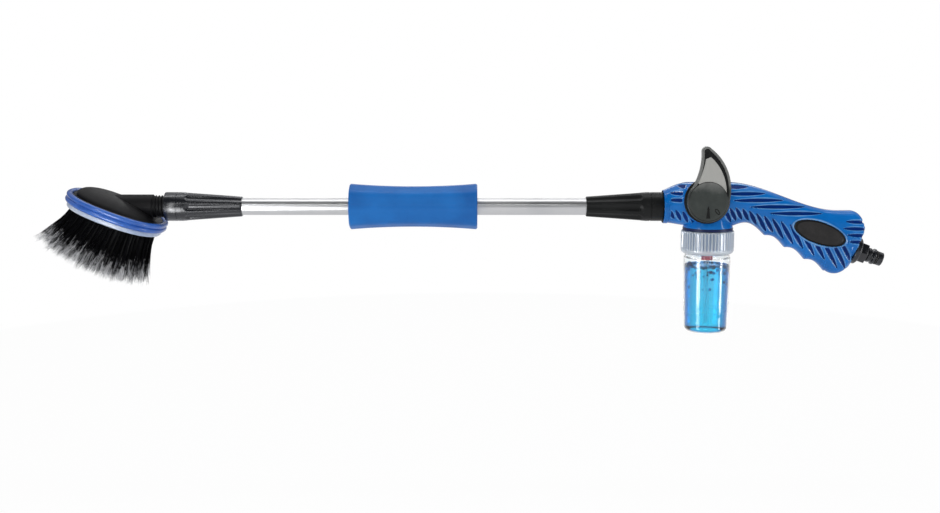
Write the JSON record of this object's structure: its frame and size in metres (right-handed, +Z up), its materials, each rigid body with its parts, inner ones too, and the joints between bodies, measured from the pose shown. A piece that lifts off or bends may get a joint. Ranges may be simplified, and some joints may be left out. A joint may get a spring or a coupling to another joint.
{
  "type": "flow-through wash brush",
  "caption": "Hose-fed wash brush: flared oval bristle head on a metal pole, grip sleeve, pistol grip with a control lever, clear soap bottle and hose nipple.",
  "frame": {"origin": "centre of the hose nipple's tip, on the nipple's axis", "axes": "+X along the pole from the brush to the hose end, +Y across the handle away from the lever, +Z up with the bottle hanging down"},
  "size_m": [0.906, 0.1288, 0.1991],
  "materials": {
    "black_satin": "satin moulded plastic",
    "black_gloss": "glossy moulded plastic",
    "seal_rubber": "smooth rubber",
    "pale_plastic": "pale blue-grey plastic",
    "blue_rubber": "glossy rubber, two beads",
    "bristle": "fine synthetic bristles, pale flagged tips",
    "steel": "plated steel",
    "white_plastic": "natural plastic",
    "bright_aluminium": "bright drawn tube",
    "blue_grip": "satin moulded plastic",
    "blue_gloss": "glossy moulded plastic with sunk stripes",
    "dark_inlay": "matt soft-touch rubber",
    "navy_plastic": "glossy moulded plastic",
    "olive_plastic": "glossy moulded plastic",
    "grey_panel": "satin panel",
    "red_plastic": "moulded plastic",
    "clear_bottle": "clear thin plastic",
    "clear_collar": "clear ribbed plastic"
  },
  "bodies": {
    "handle": {"handle_left": "blue_gloss", "handle_right": "blue_gloss", "handle_screws": "steel", "grip_inlay_left": "dark_inlay", "grip_inlay_right": "dark_inlay", "valve_body": "navy_plastic", "valve_cap": "navy_plastic", "spindle_oring": "seal_rubber", "lever_seat": "black_satin", "inlet_pipe": "black_satin", "inlet_adapter": "black_gloss", "inlet_filter": "steel", "nipple_oring": "seal_rubber", "dip_tube": "white_plastic", "check_valve": "red_plastic", "check_spring": "steel"},
    "pole": {"pole_tube": "bright_aluminium", "mid_grip": "blue_grip", "front_ferrule": "white_plastic", "rear_ferrule": "white_plastic", "front_oring": "seal_rubber", "rear_oring": "seal_rubber"},
    "brush_head": {"head_cover": "black_satin", "head_seal": "seal_rubber", "brush_block": "pale_plastic", "bumper_ring": "blue_rubber", "bristle_field": "bristle", "head_screws": "steel"},
    "front_nut": {"front_nut": "black_gloss"},
    "rear_nut": {"rear_nut": "black_satin"},
    "lever": {"control_lever": "olive_plastic", "lever_cap": "olive_plastic", "lever_panel": "grey_panel", "lever_tip_plug": "black_satin", "lever_screw": "steel", "valve_plug": "white_plastic"},
    "bottle": {"bottle": "clear_bottle", "bottle_gasket": "seal_rubber"},
    "collar": {"bottle_collar": "clear_collar"},
    "ball": {"check_ball": "steel"}
  },
  "joints": [
    {"name": "pole_turn", "type": "hinge", "parent": "handle", "child": "pole", "pos_m": [-0.21682, 0, 0.0569], "axis": [1, 0, 0], "continuous": true},
    {"name": "head_turn", "type": "hinge", "parent": "pole", "child": "brush_head", "pos_m": [-0.73482, 0, 0.0569], "axis": [1, 0, 0], "continuous": true},
    {"name": "front_nut_turn", "type": "hinge", "parent": "pole", "child": "front_nut", "pos_m": [-0.76352, 0, 0.0569], "axis": [1, 0, 0], "continuous": true},
    {"name": "rear_nut_turn", "type": "hinge", "parent": "handle", "child": "rear_nut", "pos_m": [-0.23512, 0, 0.0569], "axis": [1, 0, 0], "continuous": true},
    {"name": "lever_turn", "type": "hinge", "parent": "handle", "child": "lever", "pos_m": [-0.19242, 0, 0.0654], "axis": [0, 1, 0], "range_deg": [-45, 45]},
    {"name": "bottle_drop", "type": "slide", "parent": "handle", "child": "bottle", "axis": [0, 0, -1], "range_m": [0, 0.09]},
    {"name": "collar_turn", "type": "hinge", "parent": "bottle", "child": "collar", "pos_m": [-0.18642, 0, 0.0199], "axis": [0, 0, 1], "continuous": true},
    {"name": "ball_lift", "type": "slide", "parent": "handle", "child": "ball", "axis": [0, 0, 1], "range_m": [0, 0.0015], "stiffness_N_per_m": 20, "springref_m": -0.0005, "deforming": ["check_spring"]}
  ]
}
